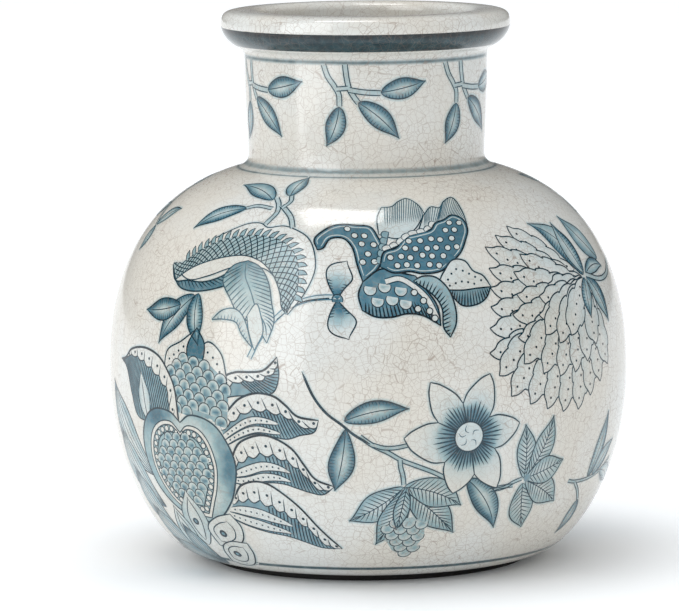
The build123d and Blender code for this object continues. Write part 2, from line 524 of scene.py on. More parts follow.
class Painting:
    """Brushwork in one chart, which becomes two pieces: the washes, and the lines and dots on them.
    What is drawn later covers what was drawn before it."""

    def __init__(self, name, angle, s):
        self.name = name
        self.angle = math.radians(angle)
        self.s = s
        self.fills = []
        self.parts = {"wash": [], "lines": []}

    def fill(self, outline, tone):
        """A wash inside a closed outline. The tone is a number, or a function of the points."""
        outline = np.asarray(outline, float)
        self.fills.append((outline, tone if callable(tone) else lambda points: np.full(len(points), tone)))

    def ribbon(self, layer, left, right, tones, lift):
        """A ribbon between two lines, with a tone for each."""
        count = len(left)
        k = np.arange(count - 1)
        faces = np.stack([count + k, count + k + 1, k + 1, k], axis=1)
        self.add(layer, np.vstack([left, right]), faces, np.repeat(tones, count), lift)

    def add(self, layer, points, faces, tones, lift):
        """Keeps a part of a layer, with how many washes were there before it."""
        self.parts[layer].append((points, faces, tones, lift, len(self.fills)))

    def stagger(self, layer):
        """A small extra lift that keeps strokes apart where they cross."""
        return 0.002 * (len(self.parts[layer]) % 6)

    def stroke(self, line, width=0.5, tone=0.9, ends=(0.35, 0.35)):
        """A brush line. The ends are how wide it starts and stops, as shares of its width."""
        line = resampled(np.asarray(line, float), 0.5)
        along = lengths(line)
        reach = max(min(3.0, along[-1] / 2), 1e-6)
        taper = np.minimum(1, np.minimum(ends[0] + (1 - ends[0]) * along / reach,
                                         ends[1] + (1 - ends[1]) * (along[-1] - along) / reach))
        half = taper * width / 2
        lift = LINE_LIFT + self.stagger("lines")
        self.ribbon("lines", shifted(line, half), shifted(line, -half), (tone, tone), lift)

    def strokes(self, lines, *brush):
        """The same kind of stroke along several lines."""
        for line in lines:
            self.stroke(line, *brush)

    def halo(self, line, side, width=1.3, tone=0.3):
        """The soft bloom on one side of a line, where the blue ran into the glaze; 1 is its left."""
        left, right = [shifted(line, side * width), line][::side]
        self.ribbon("wash", left, right, [0.0, tone][::side], HALO_LIFT + self.stagger("wash"))

    def dot(self, centre, radius, tone):
        """A round touch of the brush."""
        rim = arc(centre, radius, np.arange(0, 360, 36))
        faces = np.array([(0, 1 + k, 1 + (k + 1) % len(rim)) for k in range(len(rim))])
        self.add("lines", np.vstack([[centre], rim]), faces, np.full(1 + len(rim), tone), DOT_LIFT)

    def eye(self, centre, radius, rim, dark=0.97, pale=0.1):
        """A pale dot with a dark rim."""
        self.dot(centre, radius + rim, dark)
        self.dot(centre, radius, pale)

    def shape(self, runs, tone, width, ink=0.9, bloom=0.25):
        """A closed form. Each run is a smooth line that carries on to the first point of the next run,
        and the corners are where the runs meet."""
        lines = [curve([*run, after[0]]) for run, after in zip(runs, [*runs[1:], runs[0]])]
        outline = join(*lines)[:-1]
        outward = -1 if turns_left(outline) else 1
        if bloom:
            for line in lines:
                self.halo(line, outward, tone=bloom)
        self.fill(outline, tone)
        self.strokes(lines, width, ink, (0.6, 0.6))
        return lines

    def leaf(self, base, tip, width, bend, tones, fullest=0.45, hatch=0.0):
        """A pointed leaf with its own tone on each side of the rib, deepest along the edges."""
        left, middle, right = leaf_edges(base, tip, width, bend, fullest)
        for edge, side, tone in ((left, 1, tones[0]), (right, -1, tones[1])):
            self.halo(edge, side)
            self.fill(closed(edge, middle), near(edge, tone + 0.16, 0.12, width * 0.48))
            if hatch and tone > 0.4:
                self.hatch(edge, middle, 1.3, hatch, 0.3, 0.8)
        self.strokes((left, right), 0.5, 0.9)
        self.stroke(middle[: int(len(middle) * 0.9)], 0.4, 0.82, (0.6, 0.1))
        return left, middle, right

    def leaves(self, hatch, *leaves):
        """Several leaves with the same hatching."""
        for leaf in leaves:
            self.leaf(*leaf, hatch=hatch)

    def veined(self, base, tip, width, bend, tone=0.18):
        """A leaf with a rib and straight veins that lean towards its tip."""
        left, middle, right = self.leaf(base, tip, width, bend, (tone, tone), fullest=0.5)
        count = len(middle)
        lean = max(1, int(count * 0.16))
        pitch = 2.4
        steps = max(1, int(count * pitch / lengths(middle)[-1]))
        for edge in (left, right):
            for k in range(steps, count - lean, steps):
                vein = [middle[k], middle[k] * 0.1 + edge[k + lean] * 0.9]
                self.stroke(vein, 0.38, 0.86, (0.9, 0.3))

    def hatch(self, line, other, pitch, share, width, tone):
        """Short strokes from one line part of the way towards another."""
        count = max(3, int(lengths(line)[-1] / pitch))
        a = resampled(line, lengths(line)[-1] / count)
        b = resampled(other, lengths(other)[-1] / count)
        for p, q in zip(a[1:-1], b[1:-1]):
            self.stroke([p, p + (q - p) * share], width, tone, (1, 0.15))

    def dots(self, line, pitch, radius=0.5, tone=0.88):
        """Dots at even distances along a line."""
        for point in resampled(line, pitch):
            self.dot(point, radius, tone)

    def eyes(self, outline, pitch, radius, margin, chance):
        """White eyes with dark rims, scattered evenly inside an outline."""
        low, high = outline.min(axis=0), outline.max(axis=0)
        row = 0
        y = low[1]
        while y < high[1]:
            x = low[0] + (row % 2) * pitch / 2
            while x < high[0]:
                p = np.array([x, y]) + [chance.uniform(-0.5, 0.5), chance.uniform(-0.5, 0.5)]
                gap = np.linalg.norm(outline - p, axis=1).min()
                if inside(p[None], outline)[0] and gap > margin:
                    self.eye(p, radius, 0.4)
                x += pitch
            y += pitch * 0.87
            row += 1

    def scale(self, centre, radius, facing, tone, core, ink):
        """A round scale whose open side faces back along an angle, with a dark core."""
        rim = arc(centre, radius, facing + np.linspace(-115, 115, 15))
        self.fill(rim, around(centre, (0, radius * 0.35, radius * 0.8), (core, core, tone)))
        self.stroke(rim, 0.4, ink, (0.7, 0.7))

    def scales(self, outline, radius, facing, tone, core, ink):
        """Rows of scales that cover an outline like a fish's, each row over the one before it."""
        ahead = arc((0, 0), 1, [facing])[0]
        across = np.array([-ahead[1], ahead[0]])
        middle = outline.mean(axis=0)
        reach = np.linalg.norm(outline - middle, axis=1).max()
        rows = int(reach / (radius * 1.15)) + 1
        for row in range(rows, -rows - 1, -1):
            for k in range(-rows, rows + 1):
                p = middle + ahead * row * radius * 1.15 + across * (k + 0.5 * (row % 2)) * radius * 2.0
                if inside(p[None], outline)[0]:
                    self.scale(p, radius, facing, tone, core, ink)

    def stem(self, points, width=1.9, tone=0.24, ink=0.85):
        """A stalk drawn as two lines with a pale wash between them."""
        line = curve(points)
        left, right = shifted(line, width / 2), shifted(line, -width / 2)
        self.halo(left, 1, 0.9, 0.2)
        self.halo(right, -1, 0.9, 0.2)
        self.fill(np.vstack([left, right[::-1]]), tone)
        self.strokes((left, right), 0.45, ink, (0.8, 0.8))

    def finish(self):
        """Lays the washes and the lines on the glaze, as a piece each."""
        self.lay("wash", self.parts["wash"] + self.flat_fills())
        self.lay("lines", [self.uncovered(part) for part in self.parts["lines"]])

    def uncovered(self, part):
        """A part without the faces that a later wash covers."""
        points, faces, tones, lift, order = part
        middles = points[faces].mean(axis=1)
        shown = np.ones(len(faces), bool)
        for outline, _ in self.fills[order:]:
            close = boxed(middles, outline) & shown
            if close.any():
                shown[close] = ~inside(middles[close], outline)
        return points, faces[shown], tones, lift, order

    def flat_fills(self):
        """All washes as one sheet of triangles that don't overlap, each with its topmost wash's tone."""
        low = np.min([outline.min(axis=0) for outline, _ in self.fills], axis=0)
        high = np.max([outline.max(axis=0) for outline, _ in self.fills], axis=0)
        columns, rows = (np.arange(low[axis], high[axis], WASH_GRID) for axis in (0, 1))
        grid = np.stack(np.meshgrid(columns, rows), axis=-1).reshape(-1, 2)
        covered = np.zeros(len(grid), bool)
        points, edges = [], []
        start = 0
        for outline, _ in self.fills:
            covered |= inside(grid, outline)
            points.append(outline)
            count = len(outline)
            edges.extend((start + k, start + (k + 1) % count) for k in range(count))
            start += count
        points.append(grid[covered])
        found = delaunay_2d_cdt([Vector(p) for p in np.vstack(points).tolist()], edges, [], 0, 1e-4)
        flat = np.array([tuple(v) for v in found[0]])
        triangles = np.array([face for face in found[2] if len(face) == 3])
        middles = flat[triangles].mean(axis=1)
        owners = np.full(len(triangles), -1)
        for number, (outline, _) in enumerate(self.fills):
            close = np.flatnonzero(boxed(middles, outline))
            owners[close[inside(middles[close], outline)]] = number
        sheets = []
        for number in np.unique(owners[owners >= 0]):
            mine = triangles[owners == number]
            used, renamed = np.unique(mine, return_inverse=True)
            tones = self.fills[number][1](flat[used])
            sheets.append((flat[used], renamed.reshape(-1, 3), tones, WASH_LIFT, 0))
        return sheets

    def lay(self, layer, parts):
        """Makes one piece of flat parts, on the glaze and as far above it as their lifts say."""
        points, faces, tones, lifts = [], [], [], []
        start = 0
        for flat, polygons, tone, lift, _ in parts:
            points.append(flat)
            faces.extend((polygons + start).tolist())
            tones.append(tone)
            lifts.append(np.full(len(flat), lift))
            start += len(flat)
        flat, tones, lifts = np.vstack(points), np.concatenate(tones), np.concatenate(lifts)
        radius, height, n_r, n_z = outside(self.s + flat[:, 1], lifts)
        angle = self.angle + flat[:, 0] / np.interp(self.s + flat[:, 1], OUTSIDE_S, OUTSIDE[:, 0])
        where = np.stack([radius * np.sin(angle), -radius * np.cos(angle), height], axis=1) * MM
        normals = np.stack([n_r * np.sin(angle), -n_r * np.cos(angle), n_z], axis=1)
        name = f"{self.name}_{layer}"
        mesh = bpy.data.meshes.new(name)
        mesh.from_pydata(where.tolist(), [], faces)
        set_tones(mesh, tones)
        corner = np.empty(len(mesh.loops), np.int32)
        mesh.loops.foreach_get("vertex_index", corner)
        chart = mesh.uv_layers.new(name="OFBake")
        low, high = flat.min(axis=0), flat.max(axis=0)
        spread = (flat - low) / (high - low).max() * 0.98 + 0.01
        chart.data.foreach_set("uv", spread[corner].astype(np.float32).ravel())
        finished(mesh, name, normals[corner].tolist(), PAINT)


# ---------------------------------------------------------------- motifs

def band(name, s_values, tones):
    """A painted ring round the vase, with a tone for each distance along the outside."""
    radius, height, n_r, n_z = outside(s_values, BAND_LIFT)
    quads = np.concatenate([ring_quads(row, row + 1) for row in range(len(s_values) - 1)])
    mesh = bpy.data.meshes.new(name)
    mesh.from_pydata((spun(radius, height).reshape(-1, 3) * MM).tolist(), [], quads.tolist())
    set_tones(mesh, np.repeat(tones, SEGMENTS))
    finished(mesh, name, spun(n_r, n_z).reshape(-1, 3)[quads.ravel()].tolist(), RING_PAINT)


def span(low_height, high_height, count):
    """Distances along the outside between two heights, and how far up each one is, from 0 to 1."""
    low, high = s_at(low_height), s_at(high_height)
    s = np.linspace(low, high, count)
    return s, (s - low) / (high - low)


def bands():
    """The rings round the lip, under the lip, at the foot of the neck and at the foot."""
    s, t = span(201.3, 208.3, 16)
    band("lip_band", s, 0.87 + 0.13 * np.exp(-((1 - t) / 0.22) ** 4) + 0.05 * np.exp(-(t / 0.10) ** 2))
    s = s_at(197.2) + np.array([-1.3, -0.7, -0.3, 0.1, 0.6, 1.3])
    band("neck_line", s, np.array([0.0, 0.40, 0.62, 0.62, 0.35, 0.0]))
    s, t = span(152.9, 157.0, 20)
    soft, thin = np.exp(-((t - 0.80) / 0.15) ** 4), np.exp(-((t - 0.34) / 0.07) ** 2)
    band("cordon_band", s, 0.18 * np.sin(math.pi * t) + 0.36 * soft + 0.50 * thin)
    s = s_at(base_height) + 8.7 + np.array([-1.3, -0.7, 0.7, 1.3])
    band("base_line", s, np.array([0.05, 0.76, 0.76, 0.05]))


def neck_sprig(number, angle):
    """Two stalks that hang from the line under the lip, with three leaves."""
    art = Painting(f"neck_sprig_{number}", angle, s_at(188) - 10.5)
    art.stem([(-6.6, 19), (-5.0, 14.5), (-2.4, 10.8), (-0.6, 7.5), (-0.4, 3)])
    art.stem([(1.9, 19), (2.5, 14), (3.4, 10), (5.0, 7), (7.0, 4.2)])
    art.stem([(-1.6, 9.6), (1, 9.8), (3, 10)], 1.6)
    art.stem([(3.5, 9.3), (9, 8.4), (15.5, 8.0)])
    art.leaves(0.5, ((-0.5, 2.8), (-6, -12.6), 7.6, 0.06, (0.5, 0.62)),
               ((6.9, 4.4), (22.6, -9.8), 7.8, 0.05, (0.62, 0.5)),
               ((15.6, 8.2), (34, 12.2), 7.8, -0.02, (0.62, 0.42)))
    art.finish()


def open_flower(art, tips, notches):
    """An open flower round the chart's centre: pointed petals, each from one notch to the next.
    Tips and notches are (direction, distance) and alternate."""
    def spot(direction, distance):
        return arc((0, 0), distance, [direction])[0]
    shade = around((0, 0), (6, 10, 14, 20), (0.62, 0.52, 0.14, 0.04))
    for k, (direction, distance) in enumerate(tips):
        sides, turns = [], []
        for notch, reach in (notches[k - 1], notches[k]):
            turn = (notch - direction + 180) % 360 - 180
            turns.append(turn)
            rise = distance - reach
            sides.append([spot(notch, reach), spot(direction + turn * 0.70, reach + rise * 0.34),
                          spot(direction + turn * 0.27, reach + rise * 0.76)])
        first, last = sides
        tip = spot(direction, distance)
        art.shape([[(0, 0)], first, [tip, *last[:0:-1]], [last[0]]], shade, 0.6)
        for share in np.linspace(0.08, 0.92, 7):
            turn = turns[0] + (turns[1] - turns[0]) * share
            reach = 14.5 - 5.5 * abs(share - 0.5)
            ray = [spot(direction + turn, 6.0), spot(direction + turn * 0.9, reach)]
            art.stroke(ray, 0.65, 0.86, (1, 0.1))
    disc = arc((0, 0), 5.8, np.arange(0, 360, 15))
    art.fill(disc, 0.12)
    art.stroke(np.vstack([disc, disc[:1]]), 0.55, 0.9, (1, 1))
    for direction in (20, 95, 150, 215, 300):
        curl = curve([spot(direction, 1.5), spot(direction + 30, 3.0), spot(direction + 10, 4.6)])
        art.stroke(curl, 0.4, 0.75)


def flower_branch(side, angle):
    """The long branch: an open flower, leaves, and a hop leaf with its cone."""
    art = Painting(f"{side}_flower_branch", angle + 22, -15)
    art.stem([(3, -22), (9.5, -22.6), (15, -21.6), (21, -21.4)], 1.4, 0.3)
    art.stem([(-42, 1.5), (-37, -2), (-31, -5), (-26, -8), (-20, -10.5), (-14, -13), (-9, -15.5)], 1.5, 0.3)
    art.stem([(-26.5, -8), (-26, -11), (-25, -14), (-24.2, -18)], 1.6, 0.3)
    art.stem([(-37, -1.8), (-33, -3), (-28, -3), (-21, -1.5)], 1.5, 0.3)
    stalk = curve([(-64, 26), (-60, 17), (-55, 10.5), (-49, 6), (-44, 2), (-38, -1.5)])
    art.halo(stalk, 1)
    art.stroke(stalk, 1.0, 0.9, (0.1, 0.3))
    art.leaf((-48, 7.4), (-23.5, 11.8), 8.2, 0.06, (0.62, 0.45), hatch=0.45)
    art.leaf((-47.5, 4.4), (-50, -20.5), 9.8, 0.02, (0.5, 0.62), fullest=0.55, hatch=0.5)
    art.veined((-24, -19), (-43, -33.5), 12.5, 0.05, 0.24)
    art.veined((-24, -20), (-31, -45), 10.5, 0.04, 0.26)
    art.veined((-24, -20), (-1.5, -40.5), 12.0, 0.03, 0.26)
    art.veined((-24, -19), (-0.5, -28.0), 12.0, 0.07, 0.22)
    cone = np.array([(-28, -36), (-24, -33), (-19, -32), (-14, -35), (-13, -41), (-15.5, -47), (-19.5, -51),
                     (-24, -48), (-28, -42)], float)
    art.fill(cone, 0.3)
    art.scales(cone, 2.5, -95, 0.14, 0.42, 0.85)
    art.veined((-23, -19), (-24.5, -38), 6.0, 0.0, 0.3)
    art.leaf((0.5, -17), (15.5, -40), 9.8, 0.08, (0.42, 0.6), hatch=0.6)
    open_flower(art, [(70, 25), (126, 26.5), (179, 25.5), (258, 23), (302, 25.5), (10, 22)],
                [(102, 13.2), (154, 13.9), (226, 13.3), (282, 15.4), (334, 12.2), (41, 10.7)])
    art.finish()


def star_leaf(side, angle):
    """A leaf of five veined lobes."""
    art = Painting(f"{side}_star_leaf", angle + 42, -33)
    art.stem([(-23, -4.6), (-17, -4), (-12.5, -2), (-9, -1)], 1.3, 0.3)
    for lobe_shape in (((-8, -1), (-10.6, 21), 9.0, -0.02), ((-7, 0), (3.6, 23), 9.5, -0.06),
                       ((-8, -3), (-1.4, -23.5), 11.0, -0.04), ((-7, -2), (12.5, -13.5), 11.5, 0.04),
                       ((-7, -1), (12, 4.6), 11.0, -0.02)):
        art.veined(*lobe_shape)
    art.dot((-6.5, -1.0), 1.6, 0.45)
    art.finish()


def right_sprig(side, angle):
    """A thin twig with narrow leaves, low on the right."""
    art = Painting(f"{side}_right_sprig", angle + 62, -40)
    art.stem([(-15, 1.5), (-10, 0.5), (0, 0.3), (12, 2), (22, 6)], 1.2, 0.3)
    art.stem([(-9.5, 0), (-5, -4), (-1.5, -8.5)], 1.2, 0.3)
    art.leaves(0.5, ((0, 1), (8.4, 27), 8.0, -0.03, (0.45, 0.6)),
               ((-1.5, -8.5), (-5, -24), 7.0, 0.10, (0.55, 0.45)),
               ((4, 1.0), (20, 14), 7.5, 0.06, (0.4, 0.5)),
               ((12, 2.0), (33, -6), 7.5, 0.06, (0.4, 0.5)))
    art.finish()


def shoulder_sprig(side, angle):
    """A twig with broad leaves, high on the left shoulder."""
    art = Painting(f"{side}_shoulder_sprig", angle - 75, 80)
    art.stem([(-3, -18), (-9, -12), (-14, -4), (-16, 6)], 1.6)
    art.leaves(0.5, ((-3, -18), (9, -8), 6.5, 0.10, (0.45, 0.3)),
               ((-3, -18.5), (-4, -30), 6.0, 0.10, (0.45, 0.35)),
               ((-12, -9), (-27, -15), 7.0, 0.0, (0.5, 0.35)),
               ((-15, 4), (-24, 12), 6.0, 0.0, (0.35, 0.5)))
    art.finish()


def wavy_petal(art, root, tip, width, bend):
    """A white petal with a wavy edge, a sharp tip and a row of dots."""
    length = np.linalg.norm(tip - root)
    t = np.linspace(0, 1, max(20, int(length / 0.6)))
    wave = 0.5 * np.sin(2 * math.pi * length * (1 - t) / 8.0) * np.sin(math.pi * t) ** 0.5
    half = width / 2 * np.abs(np.sin(math.pi * t ** 1.4)) ** (0.5 + 0.4 * t)
    left, rib, right = edges_along(root, tip, bend * length * 4 * t * (1 - t) + wave, half)
    art.fill(closed(left, right), near(rib, 0.03, 0.15, width / 2))
    art.strokes((left, right), 0.55, 0.9, (0.5, 0.9))
    pitch = 4.2
    for k in range(1, int(length / pitch)):
        art.dot(rib[int((1 - k * pitch / length) * (len(rib) - 1))], 0.5, 0.92)


def chrysanthemum(side, angle):
    """A hanging head of wavy dotted petals, with leaves round its calyx."""
    art = Painting(f"{side}_chrysanthemum", angle + 50, 24)
    chance = random.Random(7)
    calyx = np.array([17.0, 16.5])
    middle = np.array([-4.0, 5.0])
    start, stop = 104, 336  # directions of the first petal and the last
    for row, (reach, count) in enumerate(((38.5, 17), (25.5, 11), (12.0, 6))):
        for k in range(count):
            facing = start + (stop - start) * (k + 0.5 * (row % 2)) / count
            direction = math.radians(facing)
            short = 0.16 * math.exp(-((facing - 163) / 24) ** 2)  # beside the peony
            long = 0.07 * math.exp(-((facing - 222) / 20) ** 2)  # at the lower left
            ahead = np.array([math.cos(direction), math.sin(direction)])
            tip = middle + (reach * (1 - short + long) + chance.uniform(-1.2, 1.2)) * ahead
            away = tip - calyx
            length = min(np.linalg.norm(away) * 0.98, 34.0)
            root = tip - away / np.linalg.norm(away) * length
            wavy_petal(art, root, tip, 11.5, 0.12 if direction < 3.6 else -0.05)
    art.leaf((38, 22), (21, 43), 11, 0.06, (0.4, 0.3), hatch=0.8)
    art.leaf((18, 17), (-2, 42), 12, -0.12, (0.5, 0.25), hatch=0.7)
    art.leaf((19, 18), (12.5, 41), 8.5, 0.06, (0.2, 0.5), hatch=0.8)
    art.leaf((20, 17), (40, 18), 6.0, 0.12, (0.5, 0.3), hatch=0.5)
    art.leaf((18, 16), (16.5, 0), 7.0, -0.06, (0.3, 0.5), hatch=0.7)
    art.leaf((20, 16), (32, -3), 8.0, 0.06, (0.6, 0.3), hatch=0.8)
    art.stem([(20, 17), (32, 14), (44, 15), (56, 20)], 1.8)
    art.finish()


def lobe(art, runs, tone, chance, pitch):
    """A dark lobe covered with white eyes, with a pale line inside its edge."""
    lines = art.shape(runs, tone, 0.7, 0.97)
    outline = join(*lines)
    art.eyes(outline, pitch, 1.05, 2.0, chance)
    inward = 1.1 if turns_left(outline) else -1.1
    art.strokes([shifted(line, inward)[3:-3] for line in lines], 0.45, 0.2, (0.5, 0.5))


def frill(art, line, pitch, depth, tone=0.06):
    """Small white scallops that stand on the left of a line."""
    points = resampled(curve(line), pitch)
    outward = sides_of(points) * depth
    for a, b, out_a, out_b in zip(points[:-1], points[1:], outward[:-1], outward[1:]):
        crest = (a + b) / 2 + out_a * 1.25
        art.shape([[a, a + out_a * 0.9, crest, b + out_b * 0.9], [b]], tone, 0.4, 0.85, 0.0)


def peony(side, angle):
    """A curling peony: dark lobes with white eyes, pale petals behind and curled leaves below."""
    art = Painting(f"{side}_peony", angle + 10, 54)
    chance = random.Random(3)
    top = art.shape([[(-10, 11), (-9.5, 19)], [(-7, 25), (-3, 25.5), (0, 28.5), (3.5, 30.2), (7, 26.5)],
                     [(9, 21), (4, 13), (-3, 9)]], 0.14, 0.5)
    art.hatch(top[1], curve([(-8, 12), (0, 12), (7, 15)]), 1.1, 0.75, 0.3, 0.7)
    top = art.shape([[(4, 9)], [(8.5, 20), (12, 24.5), (15.5, 23.8), (18, 27.5), (22, 29.5), (24.5, 22)],
                     [(25.5, 14), (20, 11), (12, 9)]], 0.14, 0.5)
    art.hatch(top[1], curve([(7, 12), (15, 12), (22, 13)]), 1.1, 0.75, 0.3, 0.7)
    lobe(art, [[(-34, 4), (-34.5, 9), (-29, 14), (-24, 16), (-18, 15.6), (-12.8, 14.8), (-10.5, 10), (-9, 3),
                (-12, -4)], [(-18, -9), (-19.5, -2), (-20.5, 5), (-23.5, 9.3), (-28.5, 9), (-31.5, 5)]],
         0.6, chance, 4.4)
    lower = art.shape([[(-18, -9), (-11, -4), (-4, -5.5)], [(2, -7), (6, -13), (9.5, -19)],
                       [(10.5, -26.5), (4, -22.5), (-2, -21.5), (-8, -22.7), (-14, -22.5)],
                       [(-19, -20), (-20, -14)]], 0.55, 0.7, 0.97)
    art.hatch(lower[2], lower[0][::-1], 1.5, 0.3, 0.6, 0.97)
    art.stem([(-9.5, -9), (-4, -8), (1.5, -11.5), (6, -16.5), (9.3, -24)], 2.2, 0.05)
    for centre in ((-15.5, -12), (-13, -16.5), (-10, -11), (-7.5, -16), (-4, -12.5), (-2.5, -17.5)):
        art.scale(centre, 2.4, -100, 0.1, 0.4, 0.95)
    for centre in ((1, -13.5), (4.3, -16.8), (2, -19.8), (6.4, -20.8), (8.3, -23.6)):
        art.eye(centre, 1.05, 0.45)
    frill(art, [(-10, -2), (-8, 5), (-6, 12)], 3.2, 2.2, 0.4)
    lobe(art, [[(-11, -3), (-9, 3), (-4, 5), (0, 9.5), (5, 11), (10, 12.5), (12.5, 15.8), (16, 17.2),
                (20, 19.5), (24, 17), (25.3, 12), (23.6, 7), (21, 2)],
               [(17, -2), (12, -5.5), (5, -6.2), (0, -5.2), (-6, -5.6)]], 0.62, chance, 4.1)
    frill(art, [(-9, 3.5), (-3, 6), (1.5, 10), (9, 12), (12.5, 16)], 3.4, 1.7)
    art.shape([[(11, -9.5), (13, -6), (17, -1.2), (22, -1.8), (25, -6), (29, -8.2)],
               [(32, -12.8), (26, -13), (20, -13.4), (14, -13)]], 0.08, 0.6)
    art.dots(curve([(14.5, -9), (18, -5), (23, -7), (28, -10)]), 2.6, 0.45)
    art.dots(curve([(15, -11.4), (20, -10), (25, -11.2)]), 2.6, 0.45)
    under = art.shape([[(14, -13), (20, -13.4), (26, -13)],
                       [(32, -12.8), (29.5, -17), (25, -19.3), (19, -19)]], 0.5, 0.6, 0.97)
    art.hatch(under[1], under[0][::-1], 1.3, 0.9, 0.5, 0.95)
    sickle = art.shape([[(1, -9), (5, -7.2), (10, -8), (14.5, -13), (16.6, -20), (16.5, -26)],
                        [(14, -31), (11.5, -27), (11.3, -20), (8, -14.5)]], 0.35, 0.65, 0.95)
    art.hatch(sickle[1], sickle[0][::-1], 1.4, 0.6, 0.55, 0.92)
    stalk = curve([(-52, -24), (-46, -19.5), (-40, -16.6), (-31, -15.6)])
    art.stroke(stalk, 0.9, 0.97, (0.3, 1.2))
    bud = np.array([-28.0, -16.0])
    for tip, width, bend in (((-23, -0.5), 10.0, 0.1), ((-24.5, -31), 11.0, -0.06)):
        left, middle, right = leaf_edges(bud, tip, width, bend, 0.6)
        half = len(middle) // 2
        art.fill(closed(left, right), around(bud, (2, 8, 12), (0.7, 0.3, 0.05)))
        art.strokes((left, right), 0.55, 0.9)
        for edge in (left, right):
            art.hatch(edge[:half], middle[:half], 1.2, 0.5, 0.4, 0.85)
    art.scale(bud, 2.1, 90, 0.5, 0.7, 0.97)
    art.finish()


def pod(side, angle):
    """A curved pod with a netted skin on a stem, with leaves above and below it."""
    art = Painting(f"{side}_pod", angle - 32, 60)
    art.stem([(10, -45), (14, -37), (20, -29), (26, -24), (34, -21.3), (43, -21)], 1.8, 0.15, 0.6)
    art.shape([[(-35, -11.5), (-29, -10.5), (-22, -6), (-17, 0), (-12.5, 3.4), (-8, 6.4), (-3, 9), (2, 9.4),
                (6, 7.5), (12, 8.6), (18, 6.8), (24, 3.2), (28.5, -3), (31, -11), (29, -20)],
               [(24, -28), (21, -22), (18, -16), (12, -11), (3, -9.5), (-4, -11), (-14, -15), (-24, -17)]],
              0.04, 0.5, 0.85)
    at = between([(-35, -11.8), (-28, -9.8), (-21, -4.5), (-12, 0.5), (-2, 3.2), (8, 3.2), (16, 0.5),
                  (22, -5), (25, -12), (26, -20), (24, -27)],
                 [(-31, -18), (-25, -13.5), (-18, -10), (-9, -7), (0, -5.5), (7, -7), (12, -10),
                  (16, -14), (19.5, -20), (21, -25), (23.5, -28)])
    ridge = at(np.linspace(0.10, 0.93, 23), 0.0)
    for point, out in zip(ridge, sides_of(ridge)):
        ahead = np.array([out[1], -out[0]])
        tip = point + out * 3.4 + ahead * 1.8
        art.shape([[point - ahead * 1.1, point + out * 2.2 - ahead * 0.2],
                   [tip, point + out * 1.2 + ahead * 1.3], [point + ahead * 1.1]], 0.38, 0.42, 0.95, 0.0)
    along = np.linspace(0, 1, 60)
    art.fill(np.vstack([at(along, 0.0), at(along[::-1], 1.0)]), 0.30)
    for start in np.arange(-0.10, 1.0, 0.036):
        for u in (np.linspace(start, start + 0.11, 9), np.linspace(start + 0.11, start, 9)):
            kept = (u > 0.0) & (u < 1.0)
            if kept.sum() > 2:
                art.stroke(at(u, np.linspace(0, 1, 9))[kept], 0.42, 0.9, (1, 1))
    art.stroke(at(along, 1.0), 0.45, 0.85)
    under = art.shape([[(-35, -12), (-31, -18), (-24, -17.5), (-16, -17.5), (-9, -15.5)],
                       [(-1, -11), (3, -14), (-3, -17.6), (-13, -20.6), (-22, -21.4), (-29, -19.5)]],
                      0.55, 0.6)
    art.hatch(under[0], under[1][::-1], 1.8, 0.75, 0.45, 0.88)
    fan = art.shape([[(17, -39), (12, -33), (4, -29), (-1, -23), (-6, -16), (-3, -10)],
                     [(3, -7.5), (9, -10), (14, -16), (17, -24), (19, -31)]],
                    lambda points: 0.5 - 0.36 * np.clip((-8 - points[:, 1]) / 22, 0, 1), 0.5, 0.75)
    at = between(fan[0][::3], fan[1][::-1][::3])
    for start in np.linspace(0.12, 0.8, 16):
        for near_edge, inner in ((0.02, 0.45), (0.98, 0.62)):
            line = at(np.linspace(start, start + 0.10, 8), np.linspace(near_edge, inner, 8))
            art.stroke(line, 0.45, 0.7, (1, 0.2))
    art.stroke(at(along[4:56], 0.55), 0.5, 0.65)
    curl = art.shape([[(-8, -31.5), (-4, -27.8), (1, -26.6), (5, -28.5), (8, -33)],
                      [(11, -41), (6, -36), (3, -31.8), (-3, -31)]], 0.2, 0.5, 0.7)
    art.hatch(curl[1], curl[0][::-1], 1.4, 0.5, 0.35, 0.6)
    art.shape([[(7.5, -29), (10.5, -24.3), (13, -28), (15, -35)], [(12, -42), (9, -35)]], 0.1, 0.5, 0.7)
    art.stem([(4, 9), (6, 15), (4.5, 20), (1.5, 24)], 1.8)
    art.stem([(16, 7.8), (13, 13), (9, 17), (6, 19.5)], 1.8)
    art.stem([(3, 17.5), (-4, 18.5), (-9, 16.6)], 1.6)
    art.stem([(7, 18), (8.5, 22), (7, 26)], 1.6)
    art.leaves(0.5, ((-8.5, 16.6), (-31, 4.0), 7.0, -0.08, (0.6, 0.45)),
               ((0.5, 22.5), (-20.5, 31), 8.6, -0.10, (0.5, 0.4)),
               ((6.6, 25.5), (6, 42), 7.0, 0.06, (0.4, 0.5)))
    art.leaves(0.6, ((-18, -23), (-36, -43), 9.0, -0.06, (0.6, 0.5)),
               ((-16.5, -22), (-13.5, -42), 8.0, -0.08, (0.5, 0.65)),
               ((-25, -27), (-47, -31), 8.5, 0.04, (0.5, 0.65)))
    art.finish()


